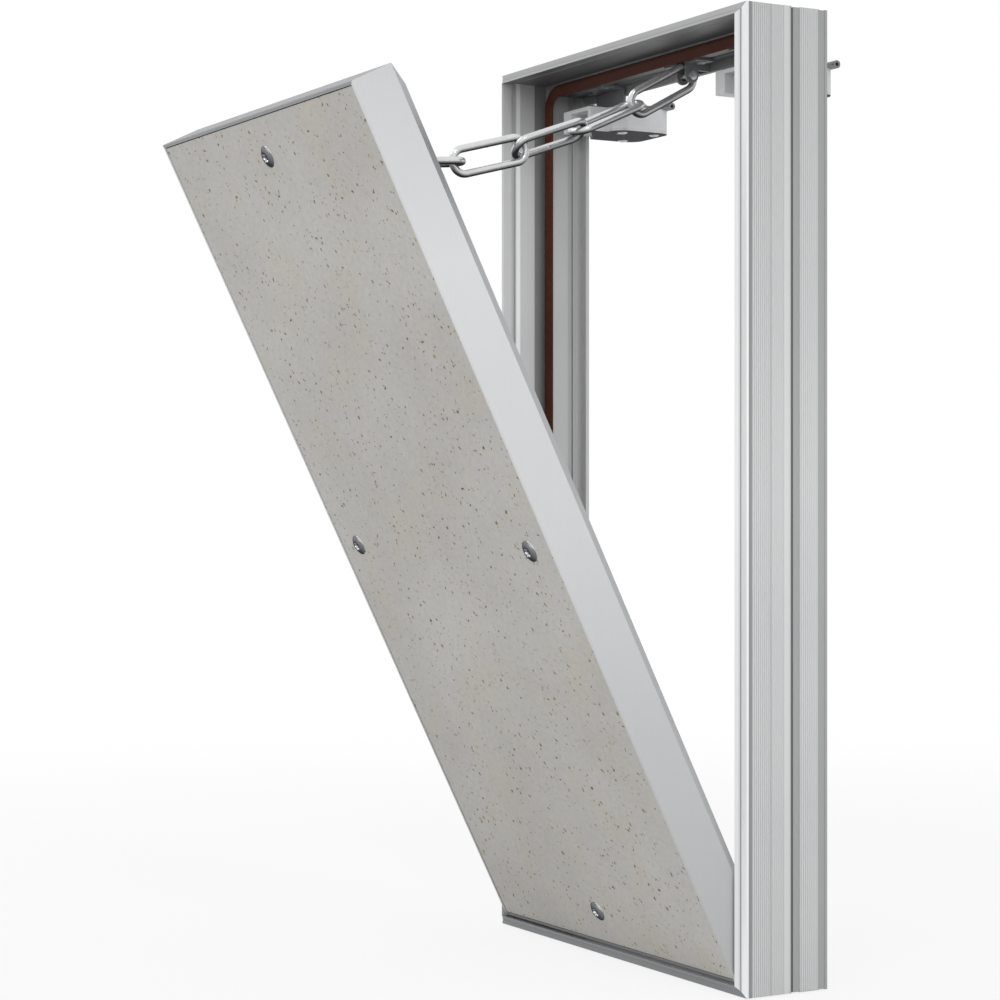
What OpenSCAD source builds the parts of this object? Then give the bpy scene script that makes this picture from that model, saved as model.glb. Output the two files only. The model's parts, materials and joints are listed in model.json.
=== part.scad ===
// Tile access panel: a square-cornered aluminium wall frame with a tilting leaf that carries a
// cement board. The leaf hangs open on a short chain and shuts into two push latches.
// Millimetres. X runs along the width, +Y into the wall, +Z up.
// The origin is in the middle of the frame's underside.

/* [Frame] */
// Outside width of the frame
frame_w = 200; // [150:1:600]
// Outside height of the frame
frame_h = 400; // [300:1:800]
// Depth of the frame from its outer front corner to its back
frame_d = 40; // [38:0.5:60]
// How far the lip stands in front of the outer corner
lip_out = 2.8; // [1:0.1:4]
// Width of the lip seen from the front
lip_in = 4.5; // [3.5:0.1:6]
// Thickness of the front wall behind the lip
front_wall = 3.9; // [3:0.1:4]
// Thickness of the rear chamber part
throat_in = 8.8; // [7:0.1:12]
// Depth at which the rear chamber part starts
shoulder_y = 21.8; // [20:0.1:24]
// How far the rear lip stands in from the outside
rear_lip_in = 13; // [11:0.1:16]
// Thickness of the rear lip
rear_lip_t = 1.7; // [1:0.1:3]
// Wall thickness round the rear chamber
chamber_wall = 1.5; // [1:0.1:2.2]
// Length of a corner key's arm
key_arm = 34; // [20:1:60]
// Gap between a corner key and the walls round it
key_gap = 0.1; // [0.05:0.05:0.3]
// Spacing of the fine ribs on the outside
rib_pitch = 0.95; // [0.8:0.05:2]
// Depth of the grooves between the ribs
rib_deep = 0.25; // [0.1:0.05:0.5]

/* [Gasket] */
// Outer edge of the gasket, in from the outside of the frame
seal_out = 5.1; // [4.2:0.1:6]
// Inner edge of the gasket, in from the outside of the frame
seal_in = 10.3; // [9:0.1:12]
// Radius of the gasket's inner bend at the corners
seal_bend = 6; // [3:0.5:10]
// Thickness of the gasket
seal_t = 1.7; // [1:0.1:2.4]

/* [Leaf] */
// Gap between the leaf and the lip at each side
side_gap = 0.9; // [0.5:0.1:3]
// Gap between the leaf and the lip at the bottom
bottom_gap = 1; // [0.6:0.1:3]
// Gap between the leaf and the lip at the top
top_gap = 0.7; // [0.6:0.1:3]
// Depth of the leaf
leaf_d = 25.6; // [22:0.1:25.6]
// Depth of the flat part of the leaf's side
side_flat = 18.15; // [15:0.05:18.5]
// How far the rear slope leans inwards
slope_in = 9.76; // [9:0.01:14]
// Width of the leaf's hollow profile
profile_w = 23; // [19:0.5:40]
// Wall thickness of the leaf's profile
leaf_wall = 1.5; // [1:0.1:2]
// Depth of the shelf that carries the board
shelf_d = 13; // [10:0.1:14]
// How far the board's face lies behind the casing's edge
board_sink = 0.3; // [0:0.1:1]
// Gap round the board
board_gap = 0.4; // [0.2:0.1:1.5]
// Angle at which the chain stops the leaf
open_angle = 26.2; // [10:0.1:26.2]

/* [Leaf pivot] */
// Distance of the pivot behind the leaf's face
pivot_back = 2; // [1.6:0.1:3]
// Height of the pivot above the leaf's bottom edge
pivot_up = 3.5; // [2.5:0.1:4]
// Diameter of the pivot pin
pivot_pin_d = 2; // [1.5:0.1:2.4]
// Radial clearance of the pivot pin in the leaf
pivot_play = 0.05; // [0.02:0.01:0.1]

/* [Board screws] */
// Diameter of the domed head
screw_head_d = 9.3; // [6:0.1:12]
// Height of the domed head
screw_head_h = 1.9; // [1:0.1:3]
// Diameter of the screw
screw_d = 4; // [3:0.1:5]
// Length of the screw under its head
screw_len = 18; // [15:0.5:22]
// Distance of the upper and lower screws from the leaf's edge
screw_edge_z = 17.9; // [12:0.1:20]
// Distance of the side screws from the leaf's edge
screw_edge_x = 18.3; // [12:0.1:20]

/* [Chain] */
// Distance of the chain from the middle of the panel
chain_x = 14; // [-20:1:24]
// Diameter of the chain wire
wire_d = 3.3; // [3:0.1:3.3]
// Length of a link between the wire centres of its two ends
link_len = 35.6; // [35.4:0.1:35.8]
// Width of a link between its wire centres
link_w = 10.4; // [10.3:0.1:10.6]
// Depth of the hanging point behind the frame's front corner
hang_y = 28.6; // [28.4:0.1:28.8]
// Distance of the hanging point below the top of the frame
hang_drop = 15.15; // [15.1:0.05:15.4]
// Diameter of the hanger's cross bar
bar_d = 2.8; // [2:0.1:3]
// Inside width of the hanger
hanger_w = 5.8; // [5.6:0.1:7]
// Radius of the hanger's lugs round the cross bar
lug_r = 3.2; // [2.6:0.1:3.6]
// Width of the hanger's feet on the ceiling
foot_w = 9; // [8:0.5:14]

/* [Leaf bail] */
// Half height of the bail between its middle and its wire centres
bail_half = 6.1; // [6:0.1:6.2]
// Bend radius of the bail
bail_bend = 3.5; // [2:0.1:4]
// Play between the end of the chain and the bail
bail_play = 5.1; // [5:0.05:5.2]
// Width of the bail's base plate
bail_base_w = 21; // [19:0.5:26]
// Height of the bail's base plate
bail_base_h = 17; // [16:0.5:18]
// Distance of the bail's screws from its middle
bail_screw_x = 7.5; // [6.5:0.1:8]

/* [Latches] */
// Distance of a latch's middle from the side of the frame
latch_side = 36.7; // [35.5:0.1:60]
// Gap between the leaf's back and the front of a latch
latch_gap = 1.2; // [0.8:0.1:2]
// Width of a latch left of its middle
latch_left = 21.5; // [20:0.1:22]
// Width of the latch's neck right of its middle
neck_right = 3; // [2.6:0.1:6]
// Length of the latch's neck
neck_len = 10; // [8:0.1:14]
// Width of the latch's body right of its middle
body_right = 11.2; // [9:0.1:16]
// Length of a latch from front to back
latch_len = 40.5; // [39.5:0.1:50]
// Radius of the latch's rear corners
latch_corner = 7; // [4:0.1:8]
// Distance of the underside of a latch below the top of the frame
latch_drop = 29; // [28.5:0.1:34]
// Height of a latch between its two plates
latch_h = 10; // [9.9:0.1:12]
// Thickness of the plates
plate_t = 1.2; // [1:0.1:1.4]
// Width of the latch's pillar left of the mouth
pillar_w = 8; // [7:0.1:8.2]
// Width of the mouth
mouth_w = 14.9; // [14.5:0.1:15.1]
// Height of the mouth above the latch's underside
mouth_h = 9.5; // [9.2:0.1:9.6]
// Distance of the plunger's face behind the latch's front
plunger_in = 10.6; // [10:0.1:11.5]
// Length of the plunger's block
plunger_len = 9.8; // [8:0.1:11]
// Diameter of the plunger's rod
plunger_rod_d = 4; // [3:0.1:4.2]
// Travel of the plunger
plunger_travel = 5; // [2:0.5:5]
// Length of the catch from its pin to its tip
catch_len = 13.8; // [13:0.1:14.5]
// Diameter of the catch's pin
catch_pin_d = 2; // [1.6:0.1:2.4]
// Radial clearance of the catch's pin in its holes
catch_play = 0.03; // [0.01:0.01:0.1]
// Radial clearance of the plunger's rod in its bore
rod_play = 0.05; // [0.01:0.01:0.1]
// Angle that the catch turns to hold the striker
catch_turn = 6; // [3:0.5:6]
// Length of the striker behind the leaf
striker_len = 10.6; // [9:0.1:11]
// Diameter of the striker's head
striker_head = 6.4; // [5:0.1:6.6]

/* [Latch bracket] */
// Half width of the bracket under the ceiling
bracket_half = 12; // [11:0.5:14]
// Distance of the bracket's rivets from its middle
bracket_rivet_x = 8; // [7:0.5:8.5]
// Distance of those rivets behind the latch's front
bracket_rivet_y = 5.5; // [5:0.1:6]
// Width of the rolled tongue
tongue_w = 14; // [10:0.5:14]
// How far the tongue reaches left of the latch's middle
tongue_left = 2; // [0:0.5:3]
// Length of the tongue up to the middle of its roll
tongue_len = 3.7; // [3:0.1:4]
// Distance of the roll's middle before the latch's back
tongue_in = 0.8; // [0.5:0.1:1.5]
// Outer radius of the roll
roll_r = 1.7; // [1.4:0.1:2]
// Thickness of the rolled sheet
roll_t = 0.9; // [0.7:0.1:1.2]

/* [Ceiling slot] */
// Distance of the slot left of the frame's middle
access_x = 21; // [18:0.5:24]
// Distance of the slot behind the frame's front
access_y = 23.6; // [23:0.1:24]
// Width of the slot
access_w = 7; // [5:0.5:9]
// Depth of the slot from front to back
access_d = 1.6; // [1.2:0.1:2]

/* [Rivets and small screws] */
// Diameter of the blind rivets in the ceiling
rivet_d = 3.2; // [2.4:0.1:4]
// Diameter of the flange of those rivets
rivet_head_d = 5.6; // [4.5:0.1:6.5]
// Thickness of the flange of those rivets
rivet_head_t = 0.8; // [0.5:0.1:1.2]
// Diameter of the rivets that hold a latch's cover
cover_rivet_d = 3; // [2.4:0.1:3.4]
// Diameter of the heads of those rivets
cover_head_d = 4.8; // [4:0.1:5.4]
// Thickness of the heads of those rivets
cover_head_t = 0.7; // [0.4:0.1:1]
// Length of those rivets above their heads
cover_rivet_len = 5.5; // [4:0.1:6.5]
// Diameter of the small screws
small_screw_d = 3; // [2.4:0.1:3.4]
// Diameter of the heads of the small screws
small_head_d = 5.2; // [4.6:0.1:5.6]
// Height of the heads of the small screws
small_head_h = 1.5; // [1:0.1:2]
// Length of the small screws below their heads
small_screw_len = 5.5; // [4:0.1:6]
// Radial clearance of the fasteners in their holes
hole_play = 0.02; // [0.01:0.01:0.1]

/* [Hidden] */
$fn = 48;
open_w = frame_w - 2 * lip_in;
leaf_w = open_w - 2 * side_gap;
leaf_z0 = lip_in + bottom_gap;
leaf_z1 = frame_h - lip_in - top_gap;
leaf_h = leaf_z1 - leaf_z0;
face_y = -lip_out;
pivot_y = face_y + pivot_back;
pivot_z = leaf_z0 + pivot_up;
rear_y = face_y + leaf_d;
hang_z = frame_h - hang_drop;
// Overlap of the links where one hangs in the next
hook_bar = 3.2;
hook_12 = 3.7;
hook_23 = 5.3;
hook_34 = 5;
hook_45 = 3.6;
// Directions of the five links in the open pose, and how far each is turned about itself
dirs = [208.5, 204, 199.5, 194.5, 184];
twists = [6, 102, 50, 0, 90];
// How far the rail end of each link lies beyond its hinge, and the same at the leaf end
near = [hook_bar, 0, hook_23 / 2, hook_34, 0];
far = [hook_12, hook_23 / 2, 0, hook_45, 0];
function span(i) = link_len - near[i] - far[i];
function joint_y(i) = i == 0 ? hang_y : joint_y(i - 1) + span(i - 1) * cos(dirs[i - 1]);
function joint_z(i) = i == 0 ? hang_z : joint_z(i - 1) + span(i - 1) * sin(dirs[i - 1]);
// The end of the chain as it lies on the shut leaf
end_y = joint_y(5) - pivot_y;
end_z = joint_z(5) - pivot_z;
shut_y = pivot_y + end_y * cos(open_angle) + end_z * sin(open_angle);
shut_z = pivot_z - end_y * sin(open_angle) + end_z * cos(open_angle);
bail_tip = shut_y + bail_play;
plate_y = face_y + shelf_d;
// The hanging point's ceiling, and the height at which the bolted plates lie on a latch
ceiling_z = frame_h - throat_in;
hanger_out = hanger_w / 2 + plate_t;
hanger_rivet_x = hanger_out + foot_w / 2;
hanger_rivet_y = hang_y + 1.2;
latch_x = frame_w / 2 - latch_side;
latch_front = rear_y + latch_gap;
latch_z = frame_h - latch_drop;
housing_z = latch_z + plate_t;
sheet_z = housing_z + latch_h;
// Slot in the frame's front wall for the thin corner keys
slot_x = 1.3;
slot_w = 1.3;
slot_y = 7;
slot_d = shoulder_y - 2.8 - slot_y;
// Places on a latch, from its middle and its front
mouth_x = -latch_left + pillar_w;
striker_x = mouth_x + 6.2;
striker_z = latch_z + 4.6;
rod_x = striker_x + 1.2;
catch_bite = 0.44;
catch_waist = 2.1;
catch_swing = catch_len * sin(catch_turn) - catch_bite;
catch_x = striker_x + striker_head / 2 + catch_swing + catch_waist;
catch_y = 18;
cover_rivets = [[4.4, 17.1], [4.4, 34.5], [-17.5, 31]];
top_screws = [[-17.2, 12], [6.8, 26]];

// Moves a piece from the frame's front corner plane to the origin in the middle of the underside
module place() {
    translate([0, -frame_d / 2, 0]) children();
}

// Turns a piece of the leaf from the shut position to the open one
module opened() {
    place()
        translate([0, pivot_y, pivot_z])
            rotate([open_angle, 0, 0])
                translate([0, -pivot_y, -pivot_z]) children();
}

// Section of the frame's extrusion: x is the distance in from the outside, y is the depth
module frame_section() {
    difference() {
        polygon([
            [0, 0], [0, frame_d], [rear_lip_in, frame_d], [rear_lip_in, frame_d - rear_lip_t],
            [throat_in, frame_d - rear_lip_t], [throat_in, shoulder_y], [front_wall, shoulder_y],
            [front_wall, 4.7], [front_wall - 0.6, 4.5], [front_wall - 0.6, 2.7],
            [lip_in, 2.4], [lip_in, -lip_out], [lip_in - 1.6, -lip_out + 1.5],
            [2.5, -1.3], [2.5, -0.9], [1.1, -0.4]]);
        // groove and plain strip between the two ribbed fields
        translate([-1, 22]) square([1.6, 1]);
        translate([-1, 22.9]) square([1.25, 3.5]);
        // plain strip at the back
        translate([-1, frame_d - 4.3]) square([1.2, 3]);
        // fine grooves
        for (i = [0 : 1 : 9]) translate([-1, 2.6 + i * rib_pitch]) square([1 + rib_deep, 0.45]);
        for (i = [0 : 1 : 6]) translate([-1, 12.2 + i * rib_pitch]) square([1 + rib_deep, 0.45]);
        translate([-1, 21.1]) square([1 + rib_deep, 0.45]);
        for (i = [0 : 1 : 8]) translate([-1, 26.8 + i * rib_pitch]) square([1 + rib_deep, 0.45]);
        // key slot in the front wall and the rear chamber
        translate([slot_x, slot_y]) square([slot_w, slot_d]);
        translate([chamber_wall, shoulder_y + chamber_wall])
            square([throat_in - 2 * chamber_wall, frame_d - shoulder_y - 2 * chamber_wall]);
        // undercut in the throat
        translate([throat_in - 0.8, 31]) square([2, 2.6]);
    }
}

// One mitred length of the frame, standing on its outer face's end
module frame_length(len) {
    cut = rear_lip_in + 2;
    intersection() {
        linear_extrude(height = len) frame_section();
        translate([0, frame_d + 1, 0])
            rotate([90, 0, 0])
                linear_extrude(height = frame_d + lip_out + 2)
                    polygon([[0, 0], [cut, cut], [cut, len - cut], [0, len]]);
    }
}

module jamb() {
    difference() {
        translate([-frame_w / 2, 0, 0]) frame_length(frame_h);
        translate([-frame_w / 2 + lip_in - 1.1, pivot_y, pivot_z])
            rotate([0, 90, 0]) cylinder(r = pivot_pin_d / 2 + 0.01, h = 3);
    }
}

module left_jamb() {
    color("silver") place() jamb();
}

module right_jamb() {
    color("silver") place() mirror([1, 0, 0]) jamb();
}

module rail() {
    translate([-frame_w / 2, 0, 0]) mirror([1, 0, -1]) frame_length(frame_w);
}

module bottom_rail() {
    color("silver") place() rail();
}

module top_rail() {
    color("silver")
        place()
            difference() {
                translate([0, 0, frame_h]) mirror([0, 0, 1]) rail();
                // holes for the rivets of the hanger and the latch brackets
                for (s = [-1, 1]) {
                    translate([chain_x + s * hanger_rivet_x, hanger_rivet_y, ceiling_z - 1])
                        cylinder(r = rivet_d / 2 + hole_play, h = 3);
                    for (t = [-1, 1])
                        translate([s * latch_x + t * bracket_rivet_x,
                            latch_front + bracket_rivet_y, ceiling_z - 1])
                            cylinder(r = rivet_d / 2 + hole_play, h = 3);
                }
                // access slot in the ceiling
                translate([-access_x, access_y, ceiling_z - 1]) cube([access_w, access_d, 2.6]);
            }
}

// Corner keys of the frame in the rear chambers, and thin ones in the front walls
module key_frame() {
    a = chamber_wall + key_gap;
    b = throat_in - chamber_wall - key_gap;
    c = slot_x + key_gap;
    d = slot_x + slot_w - key_gap;
    translate([0, frame_d - a, 0])
        rotate([90, 0, 0])
            linear_extrude(height = frame_d - shoulder_y - 2 * a)
                polygon([[a, a], [key_arm, a], [key_arm, b], [b, b], [b, key_arm], [a, key_arm]]);
    translate([0, slot_y + slot_d - key_gap, 0])
        rotate([90, 0, 0])
            linear_extrude(height = slot_d - 2 * key_gap)
                polygon([[c, c], [key_arm, c], [key_arm, d], [d, d], [d, key_arm], [c, key_arm]]);
}

module frame_corner_keys() {
    color("gray")
        place()
            for (m = [0, 1], n = [0, 1])
                translate([m ? frame_w / 2 : -frame_w / 2, 0, n ? frame_h : 0])
                    mirror([m, 0, 0]) mirror([0, 0, n]) key_frame();
}

// Section of the gasket: a bulb that meets the leaf and a lip that points inwards
module gasket_section() {
    y1 = shoulder_y;
    y0 = shoulder_y - seal_t;
    bulb = (seal_in - seal_out) * 0.3;
    difference() {
        union() {
            polygon([[seal_out, y1], [seal_out, y0 + 0.5], [seal_out + 0.5, y0],
                [seal_out + bulb, y0], [seal_in - 0.6, y1 - 0.8], [seal_in, y1 - 0.5],
                [seal_in, y1]]);
        }
        translate([seal_out + bulb * 0.75, y1 - seal_t * 0.45]) circle(r = 0.35, $fn = 24);
    }
}

module gasket_side(len) {
    a = seal_in + seal_bend;
    translate([0, 0, a]) linear_extrude(height = len - 2 * a) gasket_section();
}

module gasket_corner() {
    a = seal_in + seal_bend;
    translate([a, 0, a])
        rotate([-90, 0, 0])
            rotate([0, 0, 90])
                rotate_extrude(angle = 90)
                    mirror([1, 0, 0]) translate([-a, 0, 0]) gasket_section();
}

module gasket() {
    color("saddlebrown")
        place() {
            for (m = [0, 1])
                mirror([m, 0, 0]) translate([-frame_w / 2, 0, 0]) gasket_side(frame_h);
            for (n = [0, 1])
                translate([0, 0, n ? frame_h : 0])
                    mirror([0, 0, n])
                        translate([-frame_w / 2, 0, 0]) mirror([1, 0, -1]) gasket_side(frame_w);
            for (m = [0, 1], n = [0, 1])
                translate([m ? frame_w / 2 : -frame_w / 2, 0, n ? frame_h : 0])
                    mirror([m, 0, 0]) mirror([0, 0, n]) gasket_corner();
        }
}

// Stub pins that carry the leaf near its bottom edge
module pivot_pins() {
    color("dimgray")
        place()
            for (m = [0, 1])
                mirror([m, 0, 0])
                    translate([-frame_w / 2 + lip_in - 1, pivot_y, pivot_z])
                        rotate([0, 90, 0])
                            cylinder(r = pivot_pin_d / 2, h = 1 + side_gap + leaf_wall - 0.1);
}

// Section of the leaf's hollow profile: x is the distance in from the leaf's edge, y is the depth
module leaf_section() {
    w = leaf_wall;
    difference() {
        polygon([[0, 0.4], [0.4, 0], [w, 0], [w, shelf_d], [profile_w, shelf_d],
            [profile_w, leaf_d], [slope_in, leaf_d], [0, side_flat]]);
        polygon([[w, shelf_d + w], [profile_w - w, shelf_d + w], [profile_w - w, leaf_d - w],
            [slope_in + 0.6, leaf_d - w], [w, side_flat - 0.6]]);
    }
}

module leaf_length(len) {
    cut = profile_w + 2;
    intersection() {
        linear_extrude(height = len) leaf_section();
        translate([0, leaf_d + 1, 0])
            rotate([90, 0, 0])
                linear_extrude(height = leaf_d + 2)
                    polygon([[0, 0], [cut, cut], [cut, len - cut], [0, len]]);
    }
}

// Lays out pieces of the leaf: the origin goes to its lower middle at the level of its face
module on_leaf() {
    opened() translate([0, face_y, leaf_z0]) children();
}

module board_holes(r) {
    for (p = [[0, screw_edge_z], [0, leaf_h - screw_edge_z],
            [-leaf_w / 2 + screw_edge_x, leaf_h / 2], [leaf_w / 2 - screw_edge_x, leaf_h / 2]])
        translate([p[0], 0, p[1]]) rotate([-90, 0, 0]) cylinder(r = r, h = shelf_d + 3);
}

module leaf_side() {
    difference() {
        translate([-leaf_w / 2, 0, 0]) leaf_length(leaf_h);
        translate([-leaf_w / 2 - 1, pivot_back, pivot_up])
            rotate([0, 90, 0]) cylinder(r = pivot_pin_d / 2 + pivot_play, h = 4);
        board_holes(screw_d / 2 + 0.05);
    }
}

module leaf_left_profile() {
    color("gainsboro") on_leaf() leaf_side();
}

module leaf_right_profile() {
    color("gainsboro") on_leaf() mirror([1, 0, 0]) leaf_side();
}

module leaf_rail() {
    difference() {
        translate([-leaf_w / 2, 0, 0]) mirror([1, 0, -1]) leaf_length(leaf_w);
        board_holes(screw_d / 2 + 0.05);
    }
}

module leaf_bottom_profile() {
    color("gainsboro")
        on_leaf()
            difference() {
                leaf_rail();
                // drain slots
                for (s = [-1, 1])
                    translate([s * 50 - 6, leaf_d - 3, profile_w - 6]) cube([12, 5, 2.5]);
            }
}

module leaf_top_profile() {
    color("gainsboro")
        on_leaf()
            difference() {
                translate([0, 0, leaf_h]) mirror([0, 0, 1]) leaf_rail();
                for (s = [-1, 1])
                    translate([s * latch_x + striker_x, leaf_d - 3, striker_z - leaf_z0])
                        rotate([-90, 0, 0]) cylinder(r = 1.5 + hole_play, h = 5);
            }
}

module key_leaf() {
    a = slope_in + 1;
    b = profile_w - leaf_wall - key_gap;
    arm = 2 * profile_w - 2;
    translate([0, leaf_d - leaf_wall - 0.4, 0])
        rotate([90, 0, 0])
            linear_extrude(height = leaf_d - shelf_d - 2 * leaf_wall - 0.8)
                polygon([[a, a], [arm, a], [arm, b], [b, b], [b, arm], [a, arm]]);
}

module leaf_corner_keys() {
    color("gray")
        on_leaf()
            for (m = [0, 1], n = [0, 1])
                translate([m ? leaf_w / 2 : -leaf_w / 2, 0, n ? leaf_h : 0])
                    mirror([m, 0, 0]) mirror([0, 0, n]) key_leaf();
}

module facing_board() {
    e = leaf_wall + board_gap;
    color("tan")
        on_leaf()
            difference() {
                translate([-leaf_w / 2 + e, board_sink, e])
                    cube([leaf_w - 2 * e, shelf_d - board_sink, leaf_h - 2 * e]);
                board_holes(screw_d / 2 + 0.3);
                // pilot holes for the bail's screws
                for (s = [-1, 1])
                    translate([chain_x + s * bail_screw_x, shelf_d - 9, shut_z - leaf_z0])
                        rotate([-90, 0, 0])
                            cylinder(r = small_screw_d / 2 + hole_play, h = 12);
            }
}

// Domed wafer head with a round recess, its face towards the viewer
module board_screw() {
    rotate([90, 0, 0]) {
        difference() {
            intersection() {
                translate([0, 0, screw_head_h - 7.4]) sphere(r = 7.4, $fn = 64);
                cylinder(r = screw_head_d / 2, h = 6);
            }
            translate([0, 0, screw_head_h - 1.2]) cylinder(r = 1.7, h = 3);
        }
        translate([0, 0, -screw_len]) cylinder(r = screw_d / 2, h = screw_len + 0.2);
    }
}

module board_screws() {
    color("silver")
        on_leaf()
            for (p = [[0, screw_edge_z], [0, leaf_h - screw_edge_z],
                    [-leaf_w / 2 + screw_edge_x, leaf_h / 2],
                    [leaf_w / 2 - screw_edge_x, leaf_h / 2]])
                translate([p[0], board_sink, p[1]]) board_screw();
}

// Turned striker studs, riveted into the rear flange near the leaf's top
module strikers() {
    h = striker_head / 2;
    color("silver")
        opened()
            for (s = [-1, 1])
                translate([s * latch_x + striker_x, rear_y, striker_z])
                    rotate([-90, 0, 0])
                        rotate_extrude()
                            polygon([[0, -leaf_wall], [1.5, -leaf_wall], [1.5, 0], [3.6, 0],
                                [3.6, 1], [1.9, 1.4], [1.9, striker_len - 3.6],
                                [h, striker_len - 2.6], [h, striker_len - 1.8],
                                [1.4, striker_len], [0, striker_len]]);
}

// Square-shouldered wire eye on a plate; the last link is held in it
module leaf_bail() {
    legs = bail_tip - bail_bend - plate_y - plate_t;
    color("silver")
        opened()
            translate([chain_x, 0, shut_z]) {
                difference() {
                    translate([-bail_base_w / 2, plate_y, -bail_base_h / 2])
                        cube([bail_base_w, plate_t, bail_base_h]);
                    for (s = [-1, 1])
                        translate([s * bail_screw_x, plate_y - 1, 0])
                            rotate([-90, 0, 0])
                                cylinder(r = small_screw_d / 2 + hole_play, h = 4);
                }
                for (s = [-1, 1]) {
                    translate([0, plate_y + plate_t - 0.1, s * bail_half])
                        rotate([-90, 0, 0]) cylinder(r = wire_d / 2, h = legs + 0.1);
                    translate([0, bail_tip - bail_bend, s * (bail_half - bail_bend)])
                        rotate([s > 0 ? 0 : -90, 0, 0])
                            rotate([90, 0, 90])
                                rotate_extrude(angle = 90)
                                    translate([bail_bend, 0]) circle(r = wire_d / 2);
                }
                translate([0, bail_tip, -(bail_half - bail_bend)])
                    cylinder(r = wire_d / 2, h = 2 * (bail_half - bail_bend));
            }
}

// Small pan head screw, its head standing on the origin and its shank below
module small_screw(len) {
    difference() {
        cylinder(r = small_head_d / 2, h = small_head_h);
        translate([0, 0, small_head_h / 2]) cylinder(r = 1.1, h = small_head_h);
    }
    translate([0, 0, -len]) cylinder(r = small_screw_d / 2, h = len + 0.1);
}

module bail_screws() {
    color("silver")
        opened()
            for (s = [-1, 1])
                translate([chain_x + s * bail_screw_x, plate_y + plate_t, shut_z])
                    rotate([-90, 0, 0]) small_screw(8.5);
}

// One long link, lying flat with its length along Y
module link_loop() {
    half = link_len / 2 - link_w / 2;
    for (s = [-1, 1]) {
        translate([s * link_w / 2, half, 0])
            rotate([90, 0, 0]) cylinder(r = wire_d / 2, h = 2 * half);
    }
    translate([0, half, 0])
        rotate_extrude(angle = 180) translate([link_w / 2, 0]) circle(r = wire_d / 2);
    translate([0, -half, 0])
        rotate([0, 0, 180])
            rotate_extrude(angle = 180) translate([link_w / 2, 0]) circle(r = wire_d / 2);
}

module chain_link(i) {
    color("silver")
        place()
            translate([chain_x, joint_y(i), joint_z(i)])
                rotate([dirs[i], 0, 0])
                    translate([0, link_len / 2 - near[i], 0])
                        rotate([0, 90 - twists[i], 0]) link_loop();
}

module chain_link_1() {
    chain_link(0);
}

module chain_link_2() {
    chain_link(1);
}

module chain_link_3() {
    chain_link(2);
}

module chain_link_4() {
    chain_link(3);
}

module chain_link_5() {
    chain_link(4);
}

// Narrow clevis of folded sheet: two lugs on feet under the ceiling, joined behind the first link
module chain_hanger() {
    web_y = frame_d - rear_lip_t - 0.1 - plate_t / 2;
    color("lightgray")
        place()
            difference() {
                translate([chain_x, 0, 0]) {
                    for (s = [0, 1])
                        mirror([s, 0, 0])
                            translate([hanger_w / 2, 0, 0]) {
                                translate([0, hang_y - lug_r, hang_z])
                                    cube([plate_t, 2 * lug_r, ceiling_z - hang_z]);
                                translate([0, hang_y, hang_z])
                                    rotate([0, 90, 0]) cylinder(r = lug_r, h = plate_t);
                                translate([0, hang_y, ceiling_z - 4])
                                    cube([plate_t, web_y - hang_y, 4]);
                                translate([0, hang_y - 3.4, ceiling_z - plate_t])
                                    cube([foot_w + plate_t, 9, plate_t]);
                            }
                    translate([-hanger_out, web_y, ceiling_z - 4])
                        cube([2 * hanger_out, plate_t / 2, 4]);
                }
                translate([chain_x - hanger_out - 1, hang_y, hang_z])
                    rotate([0, 90, 0]) cylinder(r = bar_d / 2 + hole_play, h = 2 * hanger_out + 2);
                for (s = [-1, 1])
                    translate([chain_x + s * hanger_rivet_x, hanger_rivet_y, ceiling_z - 3])
                        cylinder(r = rivet_d / 2 + hole_play, h = 5);
            }
}

// Cross pin of the hanger with a flat head at each end
module hanger_bar() {
    out = hanger_out + 0.7;
    color("silver")
        place()
            translate([chain_x, hang_y, hang_z])
                rotate([0, 90, 0]) {
                    translate([0, 0, -out]) cylinder(r = bar_d / 2, h = 2 * out);
                    for (m = [0, 1])
                        mirror([0, 0, m])
                            translate([0, 0, hanger_out + 0.05])
                                cylinder(r = bar_d / 2 + 0.6, h = 0.7);
                }
}

// Blind rivet with its flange below and its body in the ceiling
module ceiling_rivet() {
    translate([0, 0, ceiling_z - plate_t]) {
        cylinder(r = rivet_d / 2, h = plate_t + chamber_wall - 0.2);
        translate([0, 0, -rivet_head_t])
            difference() {
                cylinder(r = rivet_head_d / 2, h = rivet_head_t);
                translate([0, 0, -1]) cylinder(r = rivet_d / 4, h = 1.5);
            }
    }
}

module hanger_rivets() {
    color("silver")
        place()
            for (s = [-1, 1])
                translate([chain_x + s * hanger_rivet_x, hanger_rivet_y, 0]) ceiling_rivet();
}

// Puts a piece of a latch, drawn from its middle and its front, in the left or right latch's place
module at_latch(s) {
    place() translate([s * latch_x, latch_front, 0]) children();
}

module bracket_rivets() {
    color("silver")
        for (s = [-1, 1], t = [-1, 1])
            at_latch(s)
                translate([t * bracket_rivet_x, bracket_rivet_y, 0]) ceiling_rivet();
}

module rounded_box(x0, y0, x1, y1, r) {
    translate([x0 + r, y0]) square([x1 - x0 - 2 * r, y1 - y0]);
    translate([x0, y0 + r]) square([x1 - x0, y1 - y0 - 2 * r]);
    for (x = [x0 + r, x1 - r], y = [y0 + r, y1 - r]) translate([x, y]) circle(r = r);
}

// Plan of a latch: a neck towards the leaf and a wider body behind it
module latch_plan() {
    step_r = max(0.4, body_right - latch_corner - neck_right);
    rounded_box(-latch_left, 0, neck_right, latch_len / 2, 1.5);
    rounded_box(-latch_left, neck_len, body_right, latch_len, latch_corner);
    // hollow curve between the neck and the body
    difference() {
        translate([neck_right - 1, neck_len - step_r]) square([step_r + 1, step_r + 2]);
        translate([neck_right + step_r, neck_len - step_r]) circle(r = step_r);
    }
}

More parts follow.
